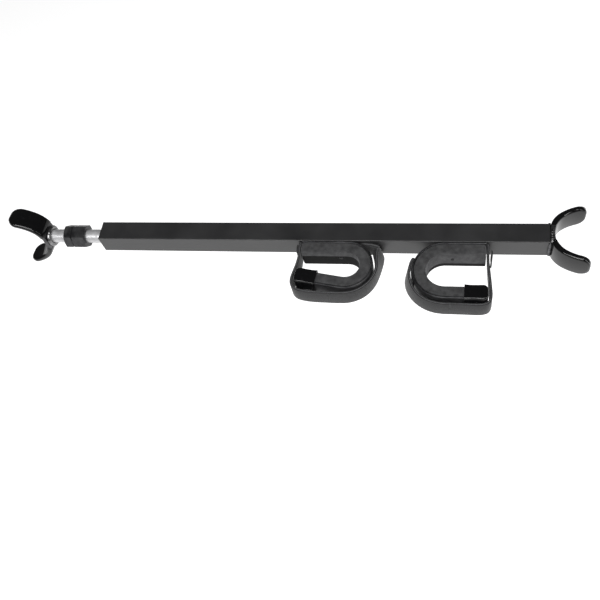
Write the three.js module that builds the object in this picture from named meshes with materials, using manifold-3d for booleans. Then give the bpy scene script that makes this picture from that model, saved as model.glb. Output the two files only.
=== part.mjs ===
// A length-adjustable square bar with a coated saddle at each end and two padded hooks on its front.
// Millimetres, +Z up. +X runs along the bar to the fixed saddle and -Y is the hooks' side.
// The origin is the middle of the fixed saddle's seat.

import * as THREE from "three";
import { mergeVertices } from "three/addons/utils/BufferGeometryUtils.js";
import Module from "manifold-3d";

const wasm = await Module();
wasm.setup();

// ---- driving dimensions ----

const GAP = 0.3; // between two pieces that touch
const CLEAR = 1; // how far a cutting tool runs past what it cuts

// main tube and what its open end carries
const TUBE = { side: 25.4, wall: 2.2, corner: 0.8, length: 530 };
const BUSHING_LENGTH = 22;
const GUIDE_LENGTH = 24;
const BLOCK_CORNER = 1;
const RUNNING_GAP = 0.35; // round the rod, and round the guide in the tube

// adjusting rod, its two nuts and its collars
const ROD = { radius: 8.5, exposed: 72.4, inside: 140, chamfer: 1.2 };
const HEX = { flats: 25.8, chamfer: 1.5, turn: 43 };
const HEX_FACE_STEP = 0.2; // the round face of a nut, inside its flats
const ADJUSTING_NUT = { from: 22, thick: 17 };
const JAM_NUT = { thick: 10.5 };
const COLLAR = { radius: 9.7, thick: 5 };

// the two saddles: a flat bar bent to a half round, with a dipped coat on each arm
// A tight bend (its middle line's radius, and the angle where it ends) opens into a wider one.
const SADDLE = {
  flat: 2.5, tight: 27.5, tightTo: 55, open: 52.5, openTo: 80, tip: 42.1, core: 5, width: 27, edge: 0.8,
};
const COAT = { thick: 1, start: 15.5, edge: 2.2, tipCorner: 11 };
const SWIVEL_TURN = 84; // how far the rod's saddle is turned from the fixed one
const WELD = { ring: 13, waist: 11.4, length: 5, toe: 1, leg: 3, rise: 2, crown: 0.4 };

// hooks: a bent flat band, foam inside it and a cap on its free end
const BAND = { thick: 2, width: 27 };
const PAD = { thick: 12.6, width: 26.6 };
const HOOK_RISE = 1; // the hooks' middle above the tube's
const CAP = { wall: 1.5, length: 25, corner: 5.5, edge: 2, innerCorner: 0.4 };
const ARC_STEPS = 20;
const SCREW = { fromBend: 7.6, rise: 1.5, shank: 2.5, head: 4.6, headThick: 2.8, access: 2.3, past: 0.8 };
const NUT = { flats: 8, thick: 3.2, chamfer: 0.6, washer: 5.2, washerThick: 1 };

// straps: thin where the hook clamps them, double outside
const STRAP = { width: 21, drop: 0.8, thick: 3, anchor: 1, overhang: 0.2, keeper: 1.7 };

// ---- places worked out from them ----

const saddleThick = SADDLE.core + 2 * COAT.thick;
const tubeEnd = -saddleThick + COAT.thick - GAP;
const tubeStart = tubeEnd - TUBE.length;
const rodTip = tubeStart - ROD.exposed;
const swivelSeat = rodTip - GAP - SADDLE.core - COAT.thick;
const tubeHalf = TUBE.side / 2;
const boreHalf = tubeHalf - TUBE.wall;
const bandBack = -(tubeHalf + GAP + STRAP.anchor + GAP);

// side is the way the mouth points along X; x is the middle of the bend
const LEFT_HOOK = hookAt({
  name: "left", side: -1, x: -227.1, radius: 31.1, upper: 53.1, lower: 51, tilt: 9.5,
});
const RIGHT_HOOK = hookAt({
  name: "right", side: 1, x: -117.3, radius: 35.9, upper: 43.7, lower: 43.8, tilt: 0,
});

// Strap routes on a hook's own axes: x from the bend's middle to the mouth, y from it to the tube.
LEFT_HOOK.wrap = [
  [-12, 30.8], [-33.8, 30.7], [-38.7, 27.6], [-39.3, 20.1], [-38.1, 11.1], [-35.8, 0],
  [-32.3, -10.9], [-26.3, -20.9], [-17.3, -28.9], [-5.8, -33.7], [6.2, -34.8], [15.9, -34.7],
];
LEFT_HOOK.flap = [
  [55.6, 32.2], [55.6, 22.1], [55.5, 12.1], [56.7, 2.1], [58.8, -7.9], [60.4, -16.9],
  [59.1, -25], [53.7, -30.4], [45.2, -32.9], [33.2, -34.2], [16.2, -34.7],
];
LEFT_HOOK.keeper = [[58.4, 29.5], [58.5, 25], [58.3, 19]];
LEFT_HOOK.anchorEnd = { leg: -11.5 };

RIGHT_HOOK.wrap = [
  [-35.2, 20.3], [-40, 10.7], [-41.8, 0], [-40.3, -10.8], [-35.8, -20.7], [-29, -29],
  [-20.3, -35.2], [-10.4, -38.9], [0, -40.2], [6, -40.2],
];
RIGHT_HOOK.flap = [
  [46.6, 37], [46.6, 28.9], [46.4, 18.9], [47.3, 0.9], [48.3, -17.1], [48.7, -29.5],
  [46.1, -37.3], [38.4, -40.3], [22, -40.3], [6.3, -40.2],
];
RIGHT_HOOK.keeper = [[49.5, 29.5], [49.9, 24], [49.1, 18]];
RIGHT_HOOK.anchorEnd = { bend: 200 };

// ---- materials ----

function paint(color, roughness, metalness = 0) {
  return new THREE.MeshStandardMaterial({ color, roughness, metalness });
}

const FINISH = {
  tube: () => paint(0x2b2b2d, 0.55, 0.3),
  zinc: () => paint(0xc4c6c9, 0.32, 1),
  oxide: () => paint(0x2a2a2c, 0.45, 0.9),
  steel: () => paint(0x85878a, 0.5, 0.9),
  vinyl: () => paint(0x0b0b0c, 0.15),
  foam: () => paint(0x464647, 0.95),
  webbing: () => paint(0x3b3b3c, 0.9),
  plastic: () => paint(0x151516, 0.5),
};

// ---- solids ----

function toSolid(geometry) {
  const bare = geometry.clone();
  bare.deleteAttribute("normal");
  bare.deleteAttribute("uv");
  const merged = mergeVertices(bare, 1e-4);
  const vertProperties = new Float32Array(merged.attributes.position.array);
  const triVerts = new Uint32Array(merged.index.array);
  return new wasm.Manifold(new wasm.Mesh({ numProp: 3, vertProperties, triVerts }));
}

function toGeometry(solid) {
  const mesh = solid.getMesh();
  const geometry = new THREE.BufferGeometry();
  geometry.setAttribute("position", new THREE.BufferAttribute(new Float32Array(mesh.vertProperties), 3));
  geometry.setIndex(new THREE.BufferAttribute(new Uint32Array(mesh.triVerts), 1));
  geometry.computeVertexNormals();
  return geometry;
}

// One geometry less any number of others.
function cut(geometry, ...tools) {
  return toGeometry(tools.reduce((solid, tool) => solid.subtract(toSolid(tool)), toSolid(geometry)));
}

function shapeOf(points) {
  return new THREE.Shape(points.map(([x, y]) => new THREE.Vector2(x, y)));
}

// A flat outline in XY, standing from -width/2 to width/2 in Z, with its edges rounded by round.
function slab(shape, width, round = 0, steps = 3) {
  const geometry = new THREE.ExtrudeGeometry(shape, {
    depth: width - 2 * round,
    bevelEnabled: round > 0,
    bevelThickness: round,
    bevelSize: round,
    bevelOffset: -round,
    bevelSegments: steps,
    curveSegments: 8,
  });
  return geometry.translate(0, 0, round - width / 2);
}

function roundedSquare(half, corner) {
  const shape = new THREE.Shape();
  const flat = half - corner;
  shape.moveTo(-flat, -half);
  shape.lineTo(flat, -half);
  shape.absarc(flat, -flat, corner, -Math.PI / 2, 0);
  shape.lineTo(half, flat);
  shape.absarc(flat, flat, corner, 0, Math.PI / 2);
  shape.lineTo(-flat, half);
  shape.absarc(-flat, flat, corner, Math.PI / 2, Math.PI);
  shape.lineTo(-half, -flat);
  shape.absarc(-flat, -flat, corner, Math.PI, 1.5 * Math.PI);
  return shape;
}

// An outline in YZ run along X between two places.
function prismAlongX(shape, from, to) {
  const depth = to - from;
  const geometry = new THREE.ExtrudeGeometry(shape, { depth, bevelEnabled: false, curveSegments: 3 });
  return geometry.rotateZ(Math.PI / 2).rotateY(Math.PI / 2).translate(from, 0, 0);
}

// A turned profile of [place along the axis, radius], on the X axis or on the Y axis.
function turned(profile, axis, segments) {
  const points = profile.map(([along, r]) => new THREE.Vector2(r, along));
  const geometry = new THREE.LatheGeometry(points, segments);
  return axis === "x" ? geometry.rotateZ(-Math.PI / 2) : geometry;
}

function ringProfile(inner, outer, from, to) {
  return [[from, inner], [from, outer], [to, outer], [to, inner], [from, inner]];
}

function drill(radius, axis, from, to, segments = 24) {
  return turned([[from, 0], [from, radius], [to, radius], [to, 0]], axis, segments);
}

// A hexagon nut on X or Y with chamfered corners and a plain bore.
function hexNut(flats, bore, axis, from, thick, chamfer, turn = 0) {
  const corner = flats / Math.sqrt(3);
  const hexagon = new THREE.CylinderGeometry(corner, corner, thick, 6);
  hexagon.rotateY(THREE.MathUtils.degToRad(turn));
  hexagon.translate(0, from + thick / 2, 0);
  if (axis === "x") hexagon.rotateZ(-Math.PI / 2);
  const low = flats / 2 - HEX_FACE_STEP;
  const wide = corner + CLEAR;
  const to = from + thick;
  const waist = turned(
    [[from, 0], [from, low], [from + chamfer, wide], [to - chamfer, wide], [to, low], [to, 0]],
    axis, 36,
  );
  const blank = toSolid(hexagon).intersect(toSolid(waist));
  return toGeometry(blank.subtract(toSolid(drill(bore, axis, from - CLEAR, to + CLEAR, 32))));
}

function arcPoints(radius, from, to, steps) {
  const points = [];
  for (let i = 0; i <= steps; i++) {
    const a = THREE.MathUtils.degToRad(from + ((to - from) * i) / steps);
    points.push([radius * Math.cos(a), radius * Math.sin(a)]);
  }
  return points;
}

// ---- bar and rod ----

function mainTube() {
  const outline = roundedSquare(tubeHalf, TUBE.corner);
  outline.holes.push(roundedSquare(boreHalf, TUBE.corner / 2));
  const beyond = tubeHalf + CLEAR;
  const holes = [LEFT_HOOK, RIGHT_HOOK].map((hook) => screwHole(hook, SCREW.shank + GAP, -beyond, beyond));
  return cut(prismAlongX(outline, tubeStart, tubeEnd), ...holes);
}

// A plastic block in the tube with a running bore for the rod.
function bored(half, from, to) {
  const block = prismAlongX(roundedSquare(half, BLOCK_CORNER), from, to);
  return cut(block, drill(ROD.radius + RUNNING_GAP, "x", from - CLEAR, to + CLEAR, 32));
}

function endBushing() {
  return bored(boreHalf - GAP, tubeStart, tubeStart + BUSHING_LENGTH);
}

const rodEnd = tubeStart + ROD.inside;
const guideEnd = rodEnd - 2 * GAP - COLLAR.thick;
const guideStart = guideEnd - GUIDE_LENGTH;

function rodGuide() {
  return bored(boreHalf - RUNNING_GAP, guideStart, guideEnd);
}

function adjustingRod() {
  const { radius, chamfer } = ROD;
  const profile = [
    [rodTip, 0], [rodTip, radius], [rodEnd - chamfer, radius], [rodEnd, radius - chamfer], [rodEnd, 0],
  ];
  return turned(profile, "x", 40);
}

// A ring on the rod at each end of the guide block, so that the block and the rod slide as one.
function collar(from) {
  const inner = ROD.radius + GAP;
  const to = from + COLLAR.thick;
  return turned(ringProfile(inner, COLLAR.radius, from, to), "x", 32);
}

const adjustingFrom = tubeStart - ADJUSTING_NUT.from - ADJUSTING_NUT.thick + GAP;
const jamFrom = adjustingFrom - GAP - JAM_NUT.thick;

function rodNut(from, thick) {
  return hexNut(HEX.flats, ROD.radius + GAP, "x", from, thick, HEX.chamfer, HEX.turn);
}

// ---- saddles, drawn opening to +X with the back of the coat at x = 0 ----

// Stations along one arm's middle line from an angle of the bend to past the tip, side +1 or -1 in Y.
function armStations(fromAngle, side) {
  const stations = [];
  const change = THREE.MathUtils.degToRad(SADDLE.tightTo);
  for (let i = 0; i <= 15; i++) {
    const a = THREE.MathUtils.degToRad(fromAngle + ((SADDLE.openTo - fromAngle) * i) / 15);
    const b = Math.min(a, change);
    const x = saddleThick / 2 + SADDLE.tight * (1 - Math.cos(b)) + SADDLE.open * (Math.cos(b) - Math.cos(a));
    const y = SADDLE.flat + SADDLE.tight * Math.sin(b) + SADDLE.open * (Math.sin(a) - Math.sin(b));
    stations.push({ x, y: side * y, nx: Math.cos(a), ny: -side * Math.sin(a) });
  }
  const last = stations.at(-1);
  const run = SADDLE.tip + saddleThick - last.x;
  stations.push({ ...last, x: last.x + run, y: last.y - (run * last.nx) / last.ny });
  return stations;
}

function ribbonOutline(stations, outer, inner) {
  const back = stations.map((s) => [s.x + s.nx * outer, s.y + s.ny * outer]);
  const front = stations.map((s) => [s.x + s.nx * inner, s.y + s.ny * inner]);
  return [...back, ...front.reverse()];
}

// Rounds both tips, as seen along Y: shrink is how far a piece lies inside the coat's outside.
function roundTips(geometry, shrink) {
  const tip = SADDLE.tip - shrink;
  const half = SADDLE.width / 2 + COAT.thick - shrink;
  const corner = COAT.tipCorner - shrink;
  const plan = new THREE.Shape();
  plan.moveTo(-CLEAR, -half);
  plan.lineTo(tip - corner, -half);
  plan.absarc(tip - corner, corner - half, corner, -Math.PI / 2, 0);
  plan.lineTo(tip, half - corner);
  plan.absarc(tip - corner, half - corner, corner, 0, Math.PI / 2);
  plan.lineTo(-CLEAR, half);
  const reach = SADDLE.tip + saddleThick;
  const prism = new THREE.ExtrudeGeometry(plan, { depth: 2 * reach, bevelEnabled: false, curveSegments: 7 });
  prism.translate(0, 0, -reach).rotateX(Math.PI / 2);
  return toGeometry(toSolid(geometry).intersect(toSolid(prism)));
}

function saddleBar() {
  const half = SADDLE.core / 2;
  const stations = [...armStations(0, -1).reverse(), ...armStations(0, 1)];
  const bent = slab(shapeOf(ribbonOutline(stations, -half, half)), SADDLE.width, SADDLE.edge, 1);
  return roundTips(bent, COAT.thick);
}

function saddleCoat(side) {
  const half = saddleThick / 2;
  const skin = slab(
    shapeOf(ribbonOutline(armStations(COAT.start, side), -half, half)),
    SADDLE.width + 2 * COAT.thick, COAT.edge,
  );
  const room = SADDLE.core / 2 + GAP;
  const hollow = slab(
    shapeOf(ribbonOutline(armStations(COAT.start / 2, side), -room, room)),
    SADDLE.width + 2 * GAP, SADDLE.edge, 1,
  );
  return cut(roundTips(skin, 0), roundTips(hollow, COAT.thick - GAP));
}

function rodWeld() {
  const inner = ROD.radius + GAP;
  const { ring, waist, length, toe } = WELD;
  return turned(
    [[0, inner], [0, ring], [length * 0.4, waist], [length, inner + toe], [length, inner], [0, inner]],
    "x", 32,
  );
}

// A bead along Z in the corner between the tube's side and the back of the fixed saddle.
function tubeWeld(side) {
  const { leg, rise, crown } = WELD;
  const wall = tubeHalf + GAP;
  const outline = [
    [tubeEnd - leg, wall], [tubeEnd, wall], [tubeEnd + crown, wall + rise], [tubeEnd - crown, wall + rise],
  ];
  return slab(shapeOf(outline.map(([x, y]) => [x, side * y])), TUBE.side - 2 * TUBE.corner);
}

// ---- hooks ----

function hookAt(hook) {
  return { ...hook, y: bandBack - hook.radius };
}

// From a hook's own axes to the bar's.
function onHook(hook, [x, y]) {
  return [hook.x + hook.side * x, hook.y + y];
}

// Stations along the band's middle line, from the upper leg's end round the bend to the lower leg's end.
function bandStations(hook) {
  const r = hook.radius - BAND.thick / 2;
  const stations = [{ x: hook.upper, y: r, nx: 0, ny: -1 }];
  for (let i = 0; i <= ARC_STEPS; i++) {
    const a = THREE.MathUtils.degToRad(90 + ((180 + hook.tilt) * i) / ARC_STEPS);
    stations.push({ x: r * Math.cos(a), y: r * Math.sin(a), nx: -Math.cos(a), ny: -Math.sin(a) });
  }
  stations.push(alongLowerLeg(stations.at(-1), hook.lower));
  return stations;
}

function alongLowerLeg(start, distance) {
  return { ...start, x: start.x + distance * start.ny, y: start.y - distance * start.nx };
}

function hookSlab(hook, outline, width, round = 0) {
  return slab(shapeOf(outline.map((point) => onHook(hook, point))), width, round);
}

function screwX(hook) {
  return hook.x + hook.side * SCREW.fromBend;
}

function screwHole(hook, radius, from, to) {
  return drill(radius, "y", from, to).translate(screwX(hook), 0, SCREW.rise);
}

function hookBand(hook) {
  const half = BAND.thick / 2;
  const band = hookSlab(hook, ribbonOutline(bandStations(hook), -half, half), BAND.width, 0.5);
  band.translate(0, 0, HOOK_RISE);
  return cut(band, screwHole(hook, SCREW.shank + GAP, bandBack - BAND.thick - CLEAR, bandBack + CLEAR));
}

function hookPad(hook) {
  const near = BAND.thick / 2 + GAP;
  const pad = hookSlab(hook, ribbonOutline(bandStations(hook), near, near + PAD.thick), PAD.width);
  pad.translate(0, 0, HOOK_RISE);
  const face = bandBack - BAND.thick;
  const pocket = screwHole(hook, SCREW.head + GAP, face - GAP - SCREW.headThick - GAP, face + CLEAR);
  return cut(pad, pocket, screwHole(hook, SCREW.access, face - PAD.thick - 2 * CLEAR, face + CLEAR));
}

// The cap's outline on the lower leg: along it from the mouth to beyond the end, then across.
function capOutline(hook, grow, mouth, end, corner) {
  const start = bandStations(hook).at(-2);
  const outer = -BAND.thick / 2 - grow;
  const inner = BAND.thick / 2 + GAP + PAD.thick + grow;
  const local = [[mouth, outer]];
  for (const [x, y, from] of [[end - corner, outer + corner, -90], [end - corner, inner - corner, 0]]) {
    for (const [dx, dy] of arcPoints(corner, from, from + 90, 4)) local.push([x + dx, y + dy]);
  }
  local.push([mouth, inner]);
  return local.map(([along, across]) => {
    const s = alongLowerLeg(start, along);
    return [s.x + s.nx * across, s.y + s.ny * across];
  });
}

function hookCap(hook) {
  const end = hook.lower + GAP + CAP.wall;
  const mouth = end - CAP.length;
  const grow = GAP + CAP.wall;
  const skin = hookSlab(
    hook, capOutline(hook, grow, mouth, end, CAP.corner), BAND.width + 2 * grow, CAP.edge,
  );
  const room = hookSlab(
    hook, capOutline(hook, GAP, mouth - CLEAR, hook.lower + GAP, CAP.innerCorner), BAND.width + 2 * GAP,
  );
  return cut(skin, room).translate(0, 0, HOOK_RISE);
}

function hookScrew(hook) {
  const seat = bandBack - BAND.thick - GAP;
  const { shank, head, headThick } = SCREW;
  const top = seat - headThick;
  const end = tubeHalf + NUT.thick + NUT.washerThick + SCREW.past;
  const dome = [[top, 0], [top, head * 0.65], [top + headThick * 0.4, head * 0.93], [seat, head]];
  const profile = [...dome, [seat, shank], [end, shank], [end, 0]];
  return turned(profile, "y", 24).translate(screwX(hook), 0, SCREW.rise);
}

function hookWasher(hook) {
  const from = tubeHalf + GAP;
  const to = from + NUT.washerThick;
  const inner = SCREW.shank + GAP;
  return turned(ringProfile(inner, NUT.washer, from, to), "y", 24).translate(screwX(hook), 0, SCREW.rise);
}

function hookNut(hook) {
  const from = tubeHalf + NUT.washerThick + 2 * GAP;
  const nut = hexNut(NUT.flats, SCREW.shank + GAP, "y", from, NUT.thick, NUT.chamfer);
  return nut.translate(screwX(hook), 0, SCREW.rise);
}

// ---- straps ----

// A strip of a given thickness along a route, smoothed through its points.
function strip(hook, route, thick, steps) {
  const curve = new THREE.SplineCurve(route.map(([x, y]) => new THREE.Vector2(x, y)));
  const stations = [];
  for (let i = 0; i <= steps; i++) {
    const p = curve.getPoint(i / steps);
    const t = curve.getTangent(i / steps);
    stations.push({ x: p.x, y: p.y, nx: t.y, ny: -t.x });
  }
  const solid = hookSlab(hook, ribbonOutline(stations, -thick / 2, thick / 2), STRAP.width);
  return solid.translate(0, 0, -STRAP.drop);
}

// The thin layer under the upper leg; on one hook it goes on round the back of the bend.
function strapAnchor(hook) {
  const y = hook.radius + GAP + STRAP.anchor / 2;
  const half = STRAP.anchor / 2;
  const stations = [{ x: hook.upper + STRAP.overhang, y, nx: 0, ny: -1 }];
  if (hook.anchorEnd.bend) {
    for (const [px, py] of arcPoints(y, 90, hook.anchorEnd.bend, 14)) {
      stations.push({ x: px, y: py, nx: -px / y, ny: -py / y });
    }
  } else {
    stations.push({ x: hook.anchorEnd.leg, y, nx: 0, ny: -1 });
  }
  const layer = hookSlab(hook, ribbonOutline(stations, -half, half), STRAP.width);
  layer.translate(0, 0, -STRAP.drop);
  return cut(layer, screwHole(hook, SCREW.shank + GAP, bandBack - CLEAR, CLEAR - tubeHalf));
}

// ---- assembly ----

const bar = new THREE.Group();

function add(name, geometry, finish, parent = bar) {
  const mesh = new THREE.Mesh(geometry, FINISH[finish]());
  mesh.name = name;
  parent.add(mesh);
  return mesh;
}

function addSaddle(prefix, parent) {
  add(`${prefix}_saddle_bar`, saddleBar(), "steel", parent);
  add(`${prefix}_saddle_coat_a`, saddleCoat(1), "vinyl", parent);
  add(`${prefix}_saddle_coat_b`, saddleCoat(-1), "vinyl", parent);
}

add("main_tube", mainTube(), "tube");
add("end_bushing", endBushing(), "plastic");
add("rod_guide", rodGuide(), "plastic");
add("adjusting_rod", adjustingRod(), "zinc");
add("rod_collar_outer", collar(guideStart - GAP - COLLAR.thick), "zinc");
add("rod_collar_inner", collar(guideEnd + GAP), "zinc");
add("adjusting_nut", rodNut(adjustingFrom, ADJUSTING_NUT.thick), "oxide");
add("jam_nut", rodNut(jamFrom, JAM_NUT.thick), "oxide");

const fixedSaddle = new THREE.Group();
fixedSaddle.position.x = -saddleThick;
bar.add(fixedSaddle);
addSaddle("fixed", fixedSaddle);
add("tube_weld_back", tubeWeld(1), "steel");
add("tube_weld_front", tubeWeld(-1), "steel");

const swivelSaddle = new THREE.Group();
swivelSaddle.position.x = swivelSeat + saddleThick;
swivelSaddle.rotation.set(THREE.MathUtils.degToRad(SWIVEL_TURN), 0, Math.PI, "XYZ");
bar.add(swivelSaddle);
addSaddle("swivel", swivelSaddle);
add("rod_weld", rodWeld().translate(rodTip + GAP, 0, 0), "steel");

for (const hook of [LEFT_HOOK, RIGHT_HOOK]) {
  const { name } = hook;
  add(`${name}_hook_band`, hookBand(hook), "oxide");
  add(`${name}_hook_pad`, hookPad(hook), "foam");
  add(`${name}_hook_cap`, hookCap(hook), "vinyl");
  add(`${name}_hook_screw`, hookScrew(hook), "oxide");
  add(`${name}_hook_washer`, hookWasher(hook), "zinc");
  add(`${name}_hook_nut`, hookNut(hook), "zinc");
  add(`${name}_strap_anchor`, strapAnchor(hook), "webbing");
  add(`${name}_strap_wrap`, strip(hook, hook.wrap, STRAP.thick, 30), "webbing");
  add(`${name}_strap_flap`, strip(hook, hook.flap, STRAP.thick, 36), "webbing");
  add(`${name}_strap_keeper`, strip(hook, hook.keeper, STRAP.keeper, 6), "webbing");
}

export default bar;
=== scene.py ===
"""The finished look of a length-adjustable rack bar: a square tube with a threaded rod, a dipped saddle at
each end, and two padded hooks closed by straps. Lengths are in metres; MM turns millimetres into them."""

import math

import bmesh
import bpy
import numpy as np
from mathutils import Matrix, Vector


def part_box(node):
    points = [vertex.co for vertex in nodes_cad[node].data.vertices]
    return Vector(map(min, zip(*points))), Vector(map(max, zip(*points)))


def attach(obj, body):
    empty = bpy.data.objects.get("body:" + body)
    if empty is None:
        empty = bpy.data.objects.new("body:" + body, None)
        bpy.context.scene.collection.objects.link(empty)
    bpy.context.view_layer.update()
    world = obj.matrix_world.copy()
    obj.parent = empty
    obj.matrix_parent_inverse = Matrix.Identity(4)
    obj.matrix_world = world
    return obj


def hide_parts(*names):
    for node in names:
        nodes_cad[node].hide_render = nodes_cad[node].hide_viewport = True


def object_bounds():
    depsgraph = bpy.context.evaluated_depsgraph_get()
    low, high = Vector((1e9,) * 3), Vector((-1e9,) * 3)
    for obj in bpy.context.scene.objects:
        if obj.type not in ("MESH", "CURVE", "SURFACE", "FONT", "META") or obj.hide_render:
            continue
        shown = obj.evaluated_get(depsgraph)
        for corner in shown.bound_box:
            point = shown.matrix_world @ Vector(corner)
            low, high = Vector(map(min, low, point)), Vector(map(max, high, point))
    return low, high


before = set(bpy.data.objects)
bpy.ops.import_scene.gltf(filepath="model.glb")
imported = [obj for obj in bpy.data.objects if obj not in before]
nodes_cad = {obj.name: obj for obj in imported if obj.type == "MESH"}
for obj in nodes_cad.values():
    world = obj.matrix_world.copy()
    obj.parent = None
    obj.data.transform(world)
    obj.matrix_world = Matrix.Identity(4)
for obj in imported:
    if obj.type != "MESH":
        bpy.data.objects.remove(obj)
cad_low, cad_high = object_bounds()
MM = 0.001
TINY = 1e-6

# ---- sizes that the finishing work needs ----

TUBE_SIDE = 25.4 * MM
SADDLE = {
    "flat": 2.5 * MM, "tight": 27.5 * MM, "tight_to": 55, "open": 52.5 * MM, "open_to": 80,
    "tip": 42.1 * MM, "core": 5 * MM, "width": 27 * MM,
}
COAT = {"thick": 1 * MM, "start": 15.5, "tip": 11 * MM, "edge": 3 * MM, "gap": 0.3 * MM}
SWIVEL_TURN = 84
BAND = {"thick": 2 * MM, "width": 27 * MM}
HOOK_RISE = 1 * MM
PAD = {"thick": 12.6 * MM, "width": 26.6 * MM, "gap": 0.3 * MM, "edge": 1.5 * MM}
CAP = {"wall": 1.5 * MM, "length": 25 * MM, "corner": 5.5 * MM, "edge": 2.1 * MM, "gap": 0.3 * MM}
ROD_RADIUS = 8.5 * MM
STRAP = {
    "width": 21 * MM, "drop": 0.8 * MM, "web": 1.15 * MM, "facing": 0.5 * MM, "bridge": 2 * MM,
    "anchor": 1 * MM, "overlap": 0.25 * MM,
}
THREAD = {"pitch": 1.5 * MM, "depth": 0.28 * MM, "turn_steps": 28, "rings": 5}
BEND_STEP = 2 * MM

# What the two hooks are: the way the mouth points, each leg's length past the bend, the lower leg's tilt,
# and the routes of the straps' parts, on the hook's own axes in millimetres. A lean says how a strap's edges
# stand off its route: the high edge's shift, the low edge's, where along the strap, over what length, and how
# much further the inner ply goes. painted_shade_below is the height under which the lining's inner face on
# the upper leg is painted near-black as painted shade.
HOOKS = {
    "left": {
        "side": -1, "upper": 53.1 * MM, "lower": 51 * MM, "tilt": 9.5, "anchor_leg": -11.5 * MM,
        "wrap": [
            (-12, 30.8), (-33.8, 30.7), (-38.7, 27.6), (-39.3, 20.1), (-38.1, 11.1), (-35.8, 0),
            (-32.3, -10.9), (-26.3, -20.9), (-17.3, -28.9), (-5.8, -33.7), (6.2, -34.8), (15.9, -34.7),
        ],
        "flap": [
            (55.6, 32.2), (55.6, 22.1), (55.5, 12.1), (56.7, 2.1), (58.8, -7.9), (60.4, -16.9),
            (59.1, -25), (53.7, -30.4), (45.2, -32.9), (33.2, -34.2), (16.2, -34.7),
        ],
        "keeper": [(58.4, 29.5), (58.5, 25), (58.3, 19)],
        "lean": (5.6 * MM, 0, 36 * MM, 16 * MM, 1.6), "flap_lean": (0, 0, 15 * MM, 30 * MM, 1),
        "painted_shade_below": 6 * MM,
    },
    "right": {
        "side": 1, "upper": 43.7 * MM, "lower": 43.8 * MM, "tilt": 0, "anchor_bend": 200,
        "wrap": [
            (-35.2, 20.3), (-40, 10.7), (-41.8, 0), (-40.3, -10.8), (-35.8, -20.7), (-29, -29),
            (-20.3, -35.2), (-10.4, -38.9), (0, -40.2), (6, -40.2),
        ],
        "flap": [
            (46.6, 37), (46.6, 28.9), (46.4, 18.9), (47.3, 0.9), (48.3, -17.1), (48.7, -29.5),
            (46.1, -37.3), (38.4, -40.3), (22, -40.3), (6.3, -40.2),
        ],
        "keeper": [(49.5, 29.5), (49.9, 24), (49.1, 18)],
        "lean": (2.9 * MM, -1.4 * MM, 24 * MM, 26 * MM, 1), "flap_lean": (-1.2 * MM, 0, 15 * MM, 30 * MM, 1),
        "painted_shade_below": -10.5 * MM,
    },
}

for name, hook in HOOKS.items():
    band_low, band_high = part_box(f"{name}_hook_band")
    hook["name"] = name
    hook["radius"] = (band_high.y - band_low.y) / 2
    bend_edge = band_low.x if hook["side"] > 0 else band_high.x
    hook["centre"] = Vector((bend_edge + hook["side"] * hook["radius"], band_high.y - hook["radius"], 0))


# ---- camera, floor and light ----

def make_camera():
    azimuth, elevation, roll = math.radians(22.59), math.radians(57.86), math.radians(-17.96)
    target = Vector((-0.2760, -0.0851, 0))
    distance = 0.8227
    flat = math.cos(elevation)
    back = Vector((math.sin(azimuth) * flat, -math.cos(azimuth) * flat, math.sin(elevation)))
    level = Vector((math.cos(azimuth), math.sin(azimuth), 0))
    right = math.cos(roll) * level + math.sin(roll) * back.cross(level)
    data = bpy.data.cameras.new("camera")
    data.sensor_width = 36
    data.lens = 44.03
    camera = bpy.data.objects.new("camera", data)
    camera.matrix_world = (
        Matrix.Translation(target + distance * back)
        @ Matrix((right, back.cross(right), back)).transposed().to_4x4()
    )
    bpy.context.scene.collection.objects.link(camera)
    bpy.context.scene.camera = camera


def soft_box(name, place, aim, width, height, power):
    data = bpy.data.lights.new(name, "AREA")
    data.shape = "RECTANGLE"
    data.size = width
    data.size_y = height
    data.energy = power
    light = bpy.data.objects.new(name, data)
    light.location = place
    light.rotation_euler = (Vector(aim) - Vector(place)).to_track_quat("-Z", "Y").to_euler()
    bpy.context.scene.collection.objects.link(light)


def make_studio():
    middle = (cad_low + cad_high) / 2
    floor_drop = 0.55
    bpy.ops.object.select_all(action="DESELECT")
    bpy.ops.mesh.primitive_grid_add(
        x_subdivisions=8, y_subdivisions=8, size=12, location=(middle.x, middle.y, cad_low.z - floor_drop),
    )
    floor = bpy.context.object
    floor.name = "studio_floor"
    floor.data.materials.append(floor_paint())
    soft_box("front_box", (middle.x - 0.2, -1.25, 1.15), middle, 1.9, 0.3, 26)
    soft_box("overhead_box", (middle.x + 0.3, -1.0, 2.2), (middle.x, -0.3, 0), 2.4, 0.7, 46)
    soft_box("right_strip", (1.2, -0.6, 0.7), middle, 0.15, 1.0, 5)
    world = bpy.data.worlds.new("studio")
    world.use_nodes = True
    world.node_tree.nodes["Background"].inputs["Color"].default_value = (0.075, 0.075, 0.077, 1)
    world.node_tree.nodes["Background"].inputs["Strength"].default_value = 1.0
    bpy.context.scene.world = world
    bpy.context.scene.view_settings.view_transform = "Standard"


# ---- finishes ----

def floor_paint():
    material = bpy.data.materials.new("floor_paint")
    material.use_nodes = True
    shader = material.node_tree.nodes["Principled BSDF"]
    shader.label = "matt white paint"
    shader.inputs["Base Color"].default_value = (0.86, 0.86, 0.86, 1)
    shader.inputs["Roughness"].default_value = 0.9
    shader.inputs["Emission Color"].default_value = (1, 1, 1, 1)
    shader.inputs["Emission Strength"].default_value = 0.62
    return material


def lay_out(tree, groups):
    """Frames each effect's nodes and sets them out in columns."""
    for column, (title, members) in enumerate(groups):
        box = tree.nodes.new("NodeFrame")
        box.label = title
        for row, node in enumerate(members):
            node.parent = box
            node.location = (column * 420 + (row % 2) * 200, -(row // 2) * 320)


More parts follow.
